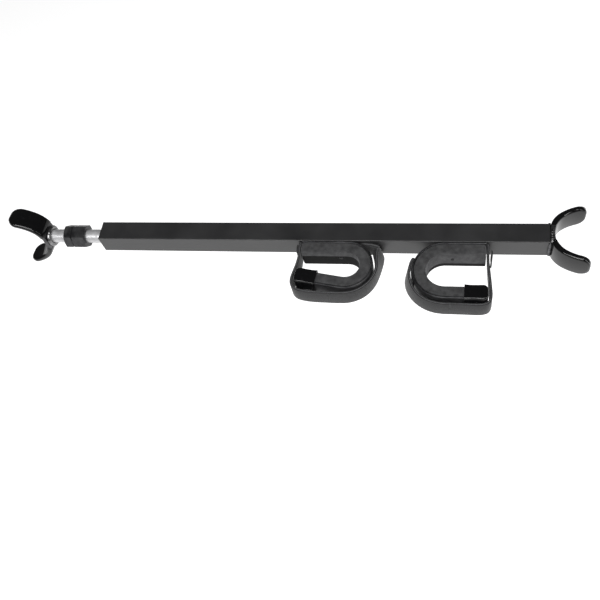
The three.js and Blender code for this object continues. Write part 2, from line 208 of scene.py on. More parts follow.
def metal(name, dark, light, rough_low, rough_high, metallic, grain, bump):
    """Plated, oxidised or bare metal: mottled colour, cloudy roughness, drawn grain and fine pits."""
    material = bpy.data.materials.new(name)
    material.use_nodes = True
    tree = material.node_tree
    nodes, links = tree.nodes, tree.links
    nodes.clear()

    place = nodes.new("ShaderNodeTexCoord")
    place.label = "place on the piece"
    stretch = nodes.new("ShaderNodeMapping")
    stretch.label = "draw the grain along the bar"
    clouds = nodes.new("ShaderNodeTexNoise")
    clouds.label = "cloudy patches"
    tint = nodes.new("ShaderNodeValToRGB")
    tint.label = "dark and light patches"
    polish = nodes.new("ShaderNodeMapRange")
    polish.label = "dull to polished"
    lines = nodes.new("ShaderNodeTexNoise")
    lines.label = "drawn grain"
    pits = nodes.new("ShaderNodeTexVoronoi")
    pits.label = "fine pits"
    relief = nodes.new("ShaderNodeMath")
    relief.label = "grain plus pits"
    surface = nodes.new("ShaderNodeBump")
    surface.label = "surface relief"
    shader = nodes.new("ShaderNodeBsdfPrincipled")
    shader.label = name.replace("_", " ")
    output = nodes.new("ShaderNodeOutputMaterial")
    lay_out(tree, [
        ("place", [place, stretch]),
        ("colour and polish", [clouds, tint, polish]),
        ("relief", [lines, pits, relief, surface]),
        ("finish", [shader, output]),
    ])

    stretch.inputs["Scale"].default_value = (0.12, 1, 1)
    clouds.inputs["Scale"].default_value = 90
    clouds.inputs["Detail"].default_value = 6
    clouds.inputs["Roughness"].default_value = 0.65
    tint.color_ramp.elements[0].position = 0.32
    tint.color_ramp.elements[0].color = (*dark, 1)
    tint.color_ramp.elements[1].position = 0.7
    tint.color_ramp.elements[1].color = (*light, 1)
    polish.inputs["To Min"].default_value = rough_low
    polish.inputs["To Max"].default_value = rough_high
    lines.inputs["Scale"].default_value = grain
    lines.inputs["Detail"].default_value = 4
    pits.inputs["Scale"].default_value = 900
    relief.operation = "MULTIPLY_ADD"
    relief.inputs[1].default_value = 0.6
    surface.inputs["Strength"].default_value = bump
    surface.inputs["Distance"].default_value = 0.15 * MM
    shader.inputs["Metallic"].default_value = metallic

    links.new(place.outputs["Object"], stretch.inputs["Vector"])
    links.new(place.outputs["Object"], clouds.inputs["Vector"])
    links.new(place.outputs["Object"], pits.inputs["Vector"])
    links.new(stretch.outputs["Vector"], lines.inputs["Vector"])
    links.new(clouds.outputs["Fac"], tint.inputs["Fac"])
    links.new(clouds.outputs["Fac"], polish.inputs["Value"])
    links.new(pits.outputs["Distance"], relief.inputs[0])
    links.new(lines.outputs["Fac"], relief.inputs[2])
    links.new(relief.outputs["Value"], surface.inputs["Height"])
    links.new(tint.outputs["Color"], shader.inputs["Base Color"])
    links.new(polish.outputs["Result"], shader.inputs["Roughness"])
    links.new(surface.outputs["Normal"], shader.inputs["Normal"])
    links.new(shader.outputs["BSDF"], output.inputs["Surface"])
    return material


def powder_coat():
    """Satin black powder coat: an orange-peel skin with fine specks and a few rubbed, lighter patches."""
    material = bpy.data.materials.new("powder_coat")
    material.use_nodes = True
    tree = material.node_tree
    nodes, links = tree.nodes, tree.links
    nodes.clear()

    place = nodes.new("ShaderNodeTexCoord")
    place.label = "place on the tube"
    handling = nodes.new("ShaderNodeTexNoise")
    handling.label = "patches rubbed by handling"
    specks = nodes.new("ShaderNodeTexNoise")
    specks.label = "powder specks"
    blend = nodes.new("ShaderNodeMath")
    blend.label = "patches plus specks"
    tint = nodes.new("ShaderNodeValToRGB")
    tint.label = "black to worn black"
    sheen = nodes.new("ShaderNodeMapRange")
    sheen.label = "satin, duller where rubbed"
    peel = nodes.new("ShaderNodeTexNoise")
    peel.label = "orange peel"
    skin = nodes.new("ShaderNodeBump")
    skin.label = "orange peel relief"
    grit = nodes.new("ShaderNodeBump")
    grit.label = "speck relief"
    shader = nodes.new("ShaderNodeBsdfPrincipled")
    shader.label = "satin powder coat"
    output = nodes.new("ShaderNodeOutputMaterial")
    lay_out(tree, [
        ("place", [place]),
        ("colour", [handling, specks, blend, tint, sheen]),
        ("relief", [peel, skin, grit]),
        ("finish", [shader, output]),
    ])

    handling.inputs["Scale"].default_value = 28
    handling.inputs["Detail"].default_value = 5
    specks.inputs["Scale"].default_value = 1400
    specks.inputs["Detail"].default_value = 2
    blend.operation = "MULTIPLY_ADD"
    blend.inputs[1].default_value = 0.45
    tint.color_ramp.elements[0].position = 0.45
    tint.color_ramp.elements[0].color = (0.009, 0.009, 0.0095, 1)
    tint.color_ramp.elements[1].position = 0.95
    tint.color_ramp.elements[1].color = (0.021, 0.021, 0.0215, 1)
    sheen.inputs["To Min"].default_value = 0.4
    sheen.inputs["To Max"].default_value = 0.52
    peel.inputs["Scale"].default_value = 520
    peel.inputs["Detail"].default_value = 2
    skin.inputs["Strength"].default_value = 0.35
    skin.inputs["Distance"].default_value = 0.2 * MM
    grit.inputs["Strength"].default_value = 0.3
    grit.inputs["Distance"].default_value = 0.08 * MM
    shader.inputs["Specular IOR Level"].default_value = 0.55

    links.new(place.outputs["Object"], handling.inputs["Vector"])
    links.new(place.outputs["Object"], specks.inputs["Vector"])
    links.new(place.outputs["Object"], peel.inputs["Vector"])
    links.new(specks.outputs["Fac"], blend.inputs[0])
    links.new(handling.outputs["Fac"], blend.inputs[2])
    links.new(blend.outputs["Value"], tint.inputs["Fac"])
    links.new(handling.outputs["Fac"], sheen.inputs["Value"])
    links.new(peel.outputs["Fac"], skin.inputs["Height"])
    links.new(specks.outputs["Fac"], grit.inputs["Height"])
    links.new(skin.outputs["Normal"], grit.inputs["Normal"])
    links.new(tint.outputs["Color"], shader.inputs["Base Color"])
    links.new(sheen.outputs["Result"], shader.inputs["Roughness"])
    links.new(grit.outputs["Normal"], shader.inputs["Normal"])
    links.new(shader.outputs["BSDF"], output.inputs["Surface"])
    return material


def moulded(name, colour, rough_low, rough_high, coat, sag):
    """Dipped or moulded plastic: glossy, with slow waves in its skin, a little dust and faint scuffs."""
    material = bpy.data.materials.new(name)
    material.use_nodes = True
    tree = material.node_tree
    nodes, links = tree.nodes, tree.links
    nodes.clear()

    place = nodes.new("ShaderNodeTexCoord")
    place.label = "place on the piece"
    dust = nodes.new("ShaderNodeTexNoise")
    dust.label = "dust and scuffs"
    tint = nodes.new("ShaderNodeValToRGB")
    tint.label = "clean to dusty"
    gloss = nodes.new("ShaderNodeMapRange")
    gloss.label = "glossy to scuffed"
    waves = nodes.new("ShaderNodeTexNoise")
    waves.label = "slow waves in the skin"
    skin = nodes.new("ShaderNodeBump")
    skin.label = "wave relief"
    shader = nodes.new("ShaderNodeBsdfPrincipled")
    shader.label = name.replace("_", " ")
    output = nodes.new("ShaderNodeOutputMaterial")
    lay_out(tree, [
        ("place", [place]),
        ("dust", [dust, tint, gloss]),
        ("relief", [waves, skin]),
        ("finish", [shader, output]),
    ])

    dust.inputs["Scale"].default_value = 240
    dust.inputs["Detail"].default_value = 8
    dust.inputs["Roughness"].default_value = 0.7
    tint.color_ramp.elements[0].position = 0.55
    tint.color_ramp.elements[0].color = (*colour, 1)
    tint.color_ramp.elements[1].position = 0.85
    dusty = [c * 2.4 + 0.004 for c in colour]
    tint.color_ramp.elements[1].color = (*dusty, 1)
    gloss.inputs["From Min"].default_value = 0.4
    gloss.inputs["From Max"].default_value = 0.75
    gloss.inputs["To Min"].default_value = rough_low
    gloss.inputs["To Max"].default_value = rough_high
    waves.inputs["Scale"].default_value = 95
    waves.inputs["Detail"].default_value = 1.5
    skin.inputs["Strength"].default_value = sag
    skin.inputs["Distance"].default_value = 0.6 * MM
    shader.inputs["Specular IOR Level"].default_value = 0.28
    shader.inputs["Coat Weight"].default_value = coat
    shader.inputs["Coat Roughness"].default_value = 0.06

    links.new(place.outputs["Object"], dust.inputs["Vector"])
    links.new(place.outputs["Object"], waves.inputs["Vector"])
    links.new(dust.outputs["Fac"], tint.inputs["Fac"])
    links.new(dust.outputs["Fac"], gloss.inputs["Value"])
    links.new(waves.outputs["Fac"], skin.inputs["Height"])
    links.new(tint.outputs["Color"], shader.inputs["Base Color"])
    links.new(gloss.outputs["Result"], shader.inputs["Roughness"])
    links.new(skin.outputs["Normal"], shader.inputs["Normal"])
    links.new(shader.outputs["BSDF"], output.inputs["Surface"])
    return material


def foam_felt(name, low_tone, high_tone, sheen):
    """Grey foam with a felted skin: short fibres, soft lumps and darker pores."""
    material = bpy.data.materials.new(name)
    material.use_nodes = True
    tree = material.node_tree
    nodes, links = tree.nodes, tree.links
    nodes.clear()

    place = nodes.new("ShaderNodeTexCoord")
    place.label = "place on the pad"
    fibres = nodes.new("ShaderNodeTexNoise")
    fibres.label = "short fibres"
    pores = nodes.new("ShaderNodeTexVoronoi")
    pores.label = "pores"
    lumps = nodes.new("ShaderNodeTexNoise")
    lumps.label = "soft lumps"
    mottle = nodes.new("ShaderNodeMath")
    mottle.label = "fibres over lumps"
    tint = nodes.new("ShaderNodeValToRGB")
    tint.label = "dark pores to light fibre ends"
    nap = nodes.new("ShaderNodeBump")
    nap.label = "nap"
    cells = nodes.new("ShaderNodeBump")
    cells.label = "cell relief"
    shader = nodes.new("ShaderNodeBsdfPrincipled")
    shader.label = "felted foam"
    output = nodes.new("ShaderNodeOutputMaterial")
    lay_out(tree, [
        ("place", [place]),
        ("colour", [fibres, lumps, mottle, tint]),
        ("relief", [pores, cells, nap]),
        ("finish", [shader, output]),
    ])

    fibres.inputs["Scale"].default_value = 1900
    fibres.inputs["Detail"].default_value = 5
    fibres.inputs["Distortion"].default_value = 1.2
    pores.inputs["Scale"].default_value = 1300
    lumps.inputs["Scale"].default_value = 160
    lumps.inputs["Detail"].default_value = 4
    mottle.operation = "MULTIPLY_ADD"
    mottle.inputs[1].default_value = 0.55
    tint.color_ramp.elements[0].position = 0.5
    tint.color_ramp.elements[0].color = (*low_tone, 1)
    tint.color_ramp.elements[1].position = 1.0
    tint.color_ramp.elements[1].color = (*high_tone, 1)
    nap.inputs["Strength"].default_value = 0.6
    nap.inputs["Distance"].default_value = 0.25 * MM
    cells.inputs["Strength"].default_value = 0.35
    cells.inputs["Distance"].default_value = 0.2 * MM
    shader.inputs["Roughness"].default_value = 0.95
    shader.inputs["Specular IOR Level"].default_value = 0.25
    shader.inputs["Sheen Weight"].default_value = sheen
    shader.inputs["Sheen Roughness"].default_value = 0.5
    shader.inputs["Sheen Tint"].default_value = (0.6, 0.6, 0.62, 1)

    links.new(place.outputs["Object"], fibres.inputs["Vector"])
    links.new(place.outputs["Object"], pores.inputs["Vector"])
    links.new(place.outputs["Object"], lumps.inputs["Vector"])
    links.new(fibres.outputs["Fac"], mottle.inputs[0])
    links.new(lumps.outputs["Fac"], mottle.inputs[2])
    links.new(mottle.outputs["Value"], tint.inputs["Fac"])
    links.new(pores.outputs["Distance"], cells.inputs["Height"])
    links.new(fibres.outputs["Fac"], nap.inputs["Height"])
    links.new(cells.outputs["Normal"], nap.inputs["Normal"])
    links.new(tint.outputs["Color"], shader.inputs["Base Color"])
    links.new(nap.outputs["Normal"], shader.inputs["Normal"])
    links.new(shader.outputs["BSDF"], output.inputs["Surface"])
    return material


def woven(name, dark, light):
    """Strap cloth: ribs across the strap's length and picks along it, on the piece's own weave directions."""
    material = bpy.data.materials.new(name)
    material.use_nodes = True
    tree = material.node_tree
    nodes, links = tree.nodes, tree.links
    nodes.clear()

    along = nodes.new("ShaderNodeAttribute")
    along.label = "way along the strap"
    across = nodes.new("ShaderNodeAttribute")
    across.label = "way across the strap"
    picks = nodes.new("ShaderNodeMath")
    picks.label = "picks along"
    pick_wave = nodes.new("ShaderNodeMath")
    pick_wave.label = "pick rounds"
    ribs = nodes.new("ShaderNodeMath")
    ribs.label = "ribs across"
    rib_wave = nodes.new("ShaderNodeMath")
    rib_wave.label = "rib rounds"
    weave = nodes.new("ShaderNodeMath")
    weave.label = "over and under"
    place = nodes.new("ShaderNodeTexCoord")
    place.label = "place on the strap"
    fuzz = nodes.new("ShaderNodeTexNoise")
    fuzz.label = "loose fibres"
    wear = nodes.new("ShaderNodeMath")
    wear.label = "weave plus fibres"
    tint = nodes.new("ShaderNodeValToRGB")
    tint.label = "shadowed yarn to lit yarn"
    relief = nodes.new("ShaderNodeBump")
    relief.label = "yarn relief"
    shader = nodes.new("ShaderNodeBsdfPrincipled")
    shader.label = name.replace("_", " ")
    output = nodes.new("ShaderNodeOutputMaterial")
    lay_out(tree, [
        ("weave", [along, across, picks, ribs, pick_wave, rib_wave, weave]),
        ("fibres", [place, fuzz, wear]),
        ("finish", [tint, relief, shader, output]),
    ])

    along.attribute_name = "along"
    across.attribute_name = "across"
    picks.operation = "MULTIPLY"
    picks.inputs[1].default_value = 2 * math.pi / (1.1 * MM)
    pick_wave.operation = "SINE"
    ribs.operation = "MULTIPLY"
    ribs.inputs[1].default_value = 2 * math.pi / (0.9 * MM)
    rib_wave.operation = "SINE"
    weave.operation = "MULTIPLY"
    fuzz.inputs["Scale"].default_value = 1500
    fuzz.inputs["Detail"].default_value = 4
    wear.operation = "MULTIPLY_ADD"
    wear.inputs[1].default_value = 0.16
    tint.color_ramp.elements[0].position = 0.3
    tint.color_ramp.elements[0].color = (*dark, 1)
    tint.color_ramp.elements[1].position = 0.75
    tint.color_ramp.elements[1].color = (*light, 1)
    relief.inputs["Strength"].default_value = 0.5
    relief.inputs["Distance"].default_value = 0.2 * MM
    shader.inputs["Roughness"].default_value = 0.85
    shader.inputs["Specular IOR Level"].default_value = 0.3
    shader.inputs["Sheen Weight"].default_value = 0.2
    shader.inputs["Sheen Roughness"].default_value = 0.4

    links.new(along.outputs["Fac"], picks.inputs[0])
    links.new(across.outputs["Fac"], ribs.inputs[0])
    links.new(picks.outputs["Value"], pick_wave.inputs[0])
    links.new(ribs.outputs["Value"], rib_wave.inputs[0])
    links.new(pick_wave.outputs["Value"], weave.inputs[0])
    links.new(rib_wave.outputs["Value"], weave.inputs[1])
    links.new(place.outputs["Object"], fuzz.inputs["Vector"])
    links.new(weave.outputs["Value"], wear.inputs[0])
    links.new(fuzz.outputs["Fac"], wear.inputs[2])
    links.new(wear.outputs["Value"], tint.inputs["Fac"])
    links.new(wear.outputs["Value"], relief.inputs["Height"])
    links.new(tint.outputs["Color"], shader.inputs["Base Color"])
    links.new(relief.outputs["Normal"], shader.inputs["Normal"])
    links.new(shader.outputs["BSDF"], output.inputs["Surface"])
    return material


# ---- bench tools ----

def take_up(piece):
    """Selects the piece alone and makes it the one that tools work on."""
    bpy.ops.object.select_all(action="DESELECT")
    piece.select_set(True)
    bpy.context.view_layer.objects.active = piece


def open_piece(piece):
    take_up(piece)
    bpy.ops.object.mode_set(mode="EDIT")


def close_piece():
    bpy.ops.object.mode_set(mode="OBJECT")


def pick_edges(piece, wanted):
    """Selects the edges of the open piece whose two ends satisfy wanted."""
    bpy.ops.mesh.select_mode(type="EDGE")
    bpy.ops.mesh.select_all(action="DESELECT")
    sketch = bmesh.from_edit_mesh(piece.data)
    for edge in sketch.edges:
        edge.select = wanted(*[v.co for v in edge.verts])
    bmesh.update_edit_mesh(piece.data)


def finish_modifiers(piece):
    bpy.context.view_layer.objects.active = piece
    for modifier in list(piece.modifiers):
        bpy.ops.object.modifier_apply(modifier=modifier.name)


def smooth(piece, degrees=40):
    take_up(piece)
    bpy.ops.object.shade_smooth_by_angle(angle=math.radians(degrees))


def plate(name, length, thick, width, edge, end_corner=0, start_corner=0, low=0.0):
    """A straight strip from x = low to low + length, with y across its thickness and z across its width."""
    bpy.ops.object.select_all(action="DESELECT")
    bpy.ops.mesh.primitive_cube_add(size=1, location=(low + length / 2, 0, 0))
    piece = bpy.context.object
    piece.name = name
    piece.scale = (length, thick, width)
    bpy.ops.object.transform_apply(location=True, rotation=True, scale=True)
    open_piece(piece)
    for corner, end in ((end_corner, low + length), (start_corner, low)):
        if corner:
            pick_edges(piece, lambda a, b: abs(a.x - end) < TINY and abs(b.x - end) < TINY
                       and abs(a.z - b.z) < TINY)
            bpy.ops.mesh.bevel(offset=corner, segments=9, affect="EDGES")
    pick_edges(piece, lambda a, b: abs(a.y - b.y) < TINY)
    bpy.ops.mesh.bevel(offset=edge, segments=4, affect="EDGES")
    close_piece()
    return piece


def slice_along(piece, step):
    """Cuts the strip across every step, so that it can bend."""
    ends = [v.co.x for v in piece.data.vertices]
    open_piece(piece)
    count = int((max(ends) - min(ends)) / step)
    for k in range(1, count):
        bpy.ops.mesh.select_all(action="SELECT")
        bpy.ops.mesh.bisect(plane_co=(min(ends) + k * step, 0, 0), plane_no=(1, 0, 0))
    close_piece()


def coordinates(piece):
    co = np.empty(len(piece.data.vertices) * 3)
    piece.data.vertices.foreach_get("co", co)
    return co.reshape(-1, 3)


def set_coordinates(piece, co):
    piece.data.vertices.foreach_set("co", co.ravel())
    piece.data.update()


def mark_weave(piece):
    """Keeps each point's way along and across the strip, for the cloth's weave."""
    co = coordinates(piece)
    for name, column in (("along", 0), ("across", 2)):
        attribute = piece.data.attributes.new(name, "FLOAT", "POINT")
        attribute.data.foreach_set("value", co[:, column].astype(np.float32))


def follow(piece, path):
    """Bends a straight strip along a path in XY: x becomes the way along it, y the offset to its left."""
    way = np.array(path)
    along = np.concatenate([[0], np.cumsum(np.linalg.norm(np.diff(way, axis=0), axis=1))])
    tangent = np.gradient(way, along, axis=0)
    tangent /= np.linalg.norm(tangent, axis=1)[:, None]
    co = coordinates(piece)
    x, y = (np.interp(co[:, 0], along, way[:, k]) for k in (0, 1))
    tx, ty = (np.interp(co[:, 0], along, tangent[:, k]) for k in (0, 1))
    beyond = co[:, 0] - np.clip(co[:, 0], 0, along[-1])
    moved = np.column_stack([x + tx * beyond - ty * co[:, 1], y + ty * beyond + tx * co[:, 1], co[:, 2]])
    set_coordinates(piece, moved)


def path_length(path):
    return float(np.sum(np.linalg.norm(np.diff(np.array(path), axis=0), axis=1)))


def smooth_route(points, per_span=12):
    """A curve through the points, rounded as a strap rounds them, from millimetres to metres."""
    p = np.array(points) * MM
    p = np.vstack([2 * p[0] - p[1], p, 2 * p[-1] - p[-2]])
    route = []
    for i in range(1, len(p) - 2):
        for t in np.linspace(0, 1, per_span, endpoint=False):
            a, b, c, d = p[i - 1:i + 3]
            route.append(0.5 * (2 * b + (c - a) * t + (2 * a - 5 * b + 4 * c - d) * t**2
                                + (3 * b - 3 * c + d - a) * t**3))
    route.append(p[-2])
    return np.array(route)


def on_hook(piece, hook, rise=0):
    """Moves a piece drawn on a hook's own axes to its place on the bar."""
    co = coordinates(piece)
    co[:, 2] += rise
    co[:, 0] = hook["centre"].x + hook["side"] * co[:, 0]
    co[:, 1] += hook["centre"].y
    set_coordinates(piece, co)
    if hook["side"] < 0:
        open_piece(piece)
        bpy.ops.mesh.select_all(action="SELECT")
        bpy.ops.mesh.flip_normals()
        close_piece()


def finished(piece, body, slot, materials, *replaced):
    for material in materials:
        piece.data.materials.append(material)
    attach(piece, body)
    if replaced:
        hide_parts(*replaced)
    return piece


# ---- rod and welds ----

def make_rod(zinc):
    """The adjusting rod, with a rolled thread along it that fades out at the weld."""
    low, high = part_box("adjusting_rod")
    length = high.x - low.x
    bpy.ops.object.select_all(action="DESELECT")
    bpy.ops.mesh.primitive_cylinder_add(
        vertices=THREAD["turn_steps"], radius=ROD_RADIUS, depth=length, rotation=(0, math.pi / 2, 0),
        location=(low.x + length / 2, 0, 0),
    )
    rod = bpy.context.object
    rod.name = "threaded_rod"
    bpy.ops.object.transform_apply(location=True, rotation=True, scale=True)
    open_piece(rod)
    pick_edges(rod, lambda a, b: abs(a.x - b.x) > length / 2)
    bpy.ops.mesh.subdivide(number_cuts=int(length / THREAD["pitch"] * THREAD["rings"]))
    close_piece()
    co = coordinates(rod)
    angle = np.arctan2(co[:, 2], co[:, 1])
    phase = (co[:, 0] / THREAD["pitch"] - angle / (2 * math.pi)) % 1
    crest = np.clip(np.abs(phase - 0.5) * 2.6 - 0.3, 0, 1)
    run_out = np.clip((co[:, 0] - low.x - 2 * MM) / (4 * MM), 0, 1)
    run_out *= np.clip((high.x - co[:, 0]) / (2 * MM), 0, 1)
    lead_in = 1.2 * MM * np.clip(1 - (high.x - co[:, 0]) / (1.2 * MM), 0, 1)
    shrink = (ROD_RADIUS - THREAD["depth"] * crest * run_out - lead_in) / ROD_RADIUS
    co[:, 1] *= shrink
    co[:, 2] *= shrink
    set_coordinates(rod, co)
    smooth(rod, 30)
    finished(rod, "rod", "zinc", [zinc], "adjusting_rod")


def weld_row(name, start, end, radius, lumps, steel, body, *replaced):
    """A row of weld lumps laid one over the next from start to end."""
    start, end = Vector(start), Vector(end)
    length = (end - start).length
    bpy.ops.object.select_all(action="DESELECT")
    bpy.ops.mesh.primitive_cylinder_add(vertices=18, radius=radius, depth=length)
    row = bpy.context.object
    row.name = name
    open_piece(row)
    pick_edges(row, lambda a, b: abs(a.z - b.z) > length / 2)
    bpy.ops.mesh.subdivide(number_cuts=lumps * 10)
    close_piece()
    co = coordinates(row)
    way = co[:, 2] / length + 0.5
    lump = np.abs(np.sin(way * lumps * math.pi)) ** 0.6
    taper = np.clip(np.minimum(way, 1 - way) * lumps, 0, 1) ** 0.5
    size = (0.74 + 0.26 * lump) * (0.35 + 0.65 * taper)
    co[:, 0] *= size
    co[:, 1] *= size
    set_coordinates(row, co)
    row.data.transform((end - start).to_track_quat("Z", "Y").to_matrix().to_4x4())
    row.data.transform(Matrix.Translation((start + end) / 2))
    smooth(row, 60)
    return finished(row, body, "raw_steel", [steel], *replaced)


def weld_ring(steel):
    """The bead round the rod where it meets its saddle."""
    low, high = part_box("rod_weld")
    bpy.ops.object.select_all(action="DESELECT")
    bpy.ops.mesh.primitive_torus_add(
        major_radius=10.4 * MM, minor_radius=2.6 * MM, major_segments=120, minor_segments=16,
        rotation=(0, math.pi / 2, 0), location=(low.x + 1.6 * MM, 0, 0),
    )
    ring = bpy.context.object
    ring.name = "rod_weld_bead"
    bpy.ops.object.transform_apply(location=True, rotation=True, scale=True)
    co = coordinates(ring)
    angle = np.arctan2(co[:, 2], co[:, 1])
    reach = np.hypot(co[:, 1], co[:, 2])
    ripple = 0.35 * MM * np.abs(np.sin(angle * 11))
    wander = 0.4 * MM * np.sin(angle * 3 + 0.6)
    wanted = np.clip(reach + (ripple + wander) * (reach - 7 * MM) / (6 * MM), ROD_RADIUS + 0.05 * MM, None)
    co[:, 1] *= wanted / reach
    co[:, 2] *= wanted / reach
    co[:, 0] = np.clip(co[:, 0], low.x, high.x)
    set_coordinates(ring, co)
    smooth(ring, 60)
    finished(ring, "rod", "raw_steel", [steel], "rod_weld")


def make_welds(bright, dull):
    weld_ring(bright)
    for side, node in ((1, "tube_weld_back"), (-1, "tube_weld_front")):
        low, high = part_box(node)
        x, y = high.x - 0.4 * MM, side * (TUBE_SIDE / 2 + 0.7 * MM)
        weld_row(f"{node}_bead", (x, y, low.z), (x, y, high.z), 1.9 * MM, 7, dull, "bar", node)
    _, tube_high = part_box("main_tube")
    for label, level in (("top", TUBE_SIDE / 2 + 0.3 * MM), ("under", -TUBE_SIDE / 2 - 0.3 * MM)):
        x = tube_high.x + 2.2 * MM
        start, end = (x - 0.8 * MM, -13.2 * MM, level), (x, 5.5 * MM, level)
        weld_row(f"saddle_weld_{label}", start, end, 2.3 * MM, 6, bright, "bar")


# ---- saddles ----

def arm_path(side):
    """The middle line of one coated arm on the saddle's own axes, from the dip line to the tip."""
    change = math.radians(SADDLE["tight_to"])
    tight, wide = SADDLE["tight"], SADDLE["open"]
    path = []
    for a in np.radians(np.linspace(COAT["start"], SADDLE["open_to"], 60)):
        b = min(a, change)
        x = SADDLE["core"] / 2 + COAT["thick"]
        x += tight * (1 - math.cos(b)) + wide * (math.cos(b) - math.cos(a))
        y = SADDLE["flat"] + tight * math.sin(b) + wide * (math.sin(a) - math.sin(b))
        path.append((x, side * y))
    last = math.radians(SADDLE["open_to"])
    run = SADDLE["tip"] - 0.55 * MM - path[-1][0]
    path.append((path[-1][0] + run, path[-1][1] + side * run / math.tan(last)))
    return path


def dipped_arm(name, side, place, vinyl):
    path = arm_path(side)
    length = path_length(path)
    thick = SADDLE["core"] + 2 * COAT["thick"]
    width = SADDLE["width"] + 2 * COAT["thick"]
    skin = plate(name, length, thick, width, COAT["edge"], end_corner=COAT["tip"])
    room_edge = 1 * MM
    shrink = COAT["thick"] - COAT["gap"]
    room = plate(
        "room", length - shrink + 5 * MM, thick - 2 * shrink, width - 2 * shrink, room_edge,
        end_corner=COAT["tip"] - shrink, low=-5 * MM,
    )
    hollow = skin.modifiers.new("room for the steel", "BOOLEAN")
    hollow.operation = "DIFFERENCE"
    hollow.object = room
    finish_modifiers(skin)
    bpy.data.objects.remove(room)
    slice_along(skin, 1.5 * MM)
    thin_dip_line(skin, thick / 2, width / 2)
    follow(skin, path)
    skin.data.transform(place)
    smooth(skin, 35)
    return skin


def thin_dip_line(skin, half_thick, half_width):
    """The coat starts thin and wavy where the dip stopped and comes to its full thickness further on."""
    fade, least = 7 * MM, 0.42
    co = coordinates(skin)
    ease = np.clip(co[:, 0] / fade, 0, 1)
    ease = least + (1 - least) * ease * ease * (3 - 2 * ease)
    steel_half = SADDLE["core"] / 2 + COAT["gap"]
    steel_width = SADDLE["width"] / 2 + COAT["gap"]
    for column, core in ((1, steel_half), (2, steel_width)):
        size = np.abs(co[:, column])
        outside = size > core + 0.01 * MM
        thinned = np.sign(co[:, column]) * (core + (size - core) * ease)
        co[:, column] = np.where(outside, thinned, co[:, column])
    start = np.clip(1 - co[:, 0] / (3 * MM), 0, 1)
    co[:, 0] += start * 0.7 * MM * np.sin(co[:, 2] / (3.1 * MM) + np.sign(co[:, 1]) * 1.3)
    set_coordinates(skin, co)


def saddle_places():
    """Where the two saddles stand: their own axes have the coat's back at x = 0 and open to +X."""
    _, fixed_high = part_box("fixed_saddle_coat_a")
    swivel_low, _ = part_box("swivel_saddle_coat_a")
    tip = SADDLE["tip"]
    fixed = Matrix.Translation((fixed_high.x - tip, 0, 0))
    turn = Matrix.Rotation(math.radians(SWIVEL_TURN), 4, "X") @ Matrix.Rotation(math.pi, 4, "Z")
    swivel = Matrix.Translation((swivel_low.x + tip, 0, 0)) @ turn
    return {"fixed": (fixed, "bar"), "swivel": (swivel, "rod")}


def make_saddles(vinyl):
    for prefix, (place, body) in saddle_places().items():
        for letter, side in (("a", 1), ("b", -1)):
            node = f"{prefix}_saddle_coat_{letter}"
            arm = dipped_arm(f"{prefix}_dipped_arm_{letter}", side, place, vinyl)
            finished(arm, body, "vinyl", [vinyl], node)


# ---- hooks ----

def hook_path(hook):
    """The band's middle line on the hook's own axes: upper leg, bend, lower leg."""
    r = hook["radius"] - BAND["thick"] / 2
    path = [(hook["upper"], r)]
    for a in np.radians(np.linspace(90, 270 + hook["tilt"], 90)):
        path.append((r * math.cos(a), r * math.sin(a)))
    tilt = math.radians(hook["tilt"])
    x, y = path[-1]
    path.append((x + hook["lower"] * math.cos(tilt), y + hook["lower"] * math.sin(tilt)))
    return path


def make_band(hook, steel):
    path = hook_path(hook)
    band = plate(
        f"{hook['name']}_bent_band", path_length(path), BAND["thick"], BAND["width"], 0.45 * MM,
        end_corner=1.5 * MM,
    )
    slice_along(band, BEND_STEP)
    follow(band, path)
    on_hook(band, hook, HOOK_RISE)
    smooth(band, 35)
    finished(band, "bar", "black_oxide", [steel], f"{hook['name']}_hook_band")


def make_pad(hook, felt, painted_shade_felt):
    path = hook_path(hook)
    near = BAND["thick"] / 2 + PAD["gap"]
    pad = plate(f"{hook['name']}_foam_pad", path_length(path), PAD["thick"], PAD["width"], PAD["edge"])
    slice_along(pad, BEND_STEP)
    # Cuts the pad where the painted shade begins. The upper leg's inner faces below that height then take the
    # second, near-black material, which is painted shade on the lining.
    open_piece(pad)
    bpy.ops.mesh.select_all(action="SELECT")
    bpy.ops.mesh.bisect(plane_co=(0, 0, hook["painted_shade_below"]), plane_no=(0, 0, 1))
    close_piece()
    for face in pad.data.polygons:
        inner = face.center.y > PAD["thick"] / 2 - PAD["edge"]
        on_upper_leg = face.center.x < hook["upper"] + hook["radius"]
        if inner and on_upper_leg and face.center.z < hook["painted_shade_below"]:
            face.material_index = 1
    co = coordinates(pad)
    co[:, 1] += near + PAD["thick"] / 2
    set_coordinates(pad, co)
    follow(pad, path)
    on_hook(pad, hook, HOOK_RISE)
    pad.modifiers.new("softer skin", "SUBSURF").levels = 1
    pad.modifiers["softer skin"].render_levels = 1
    finish_modifiers(pad)
    drill_access(pad, hook)
    smooth(pad, 50)
    finished(pad, "bar", "foam", [felt, painted_shade_felt], f"{hook['name']}_hook_pad")


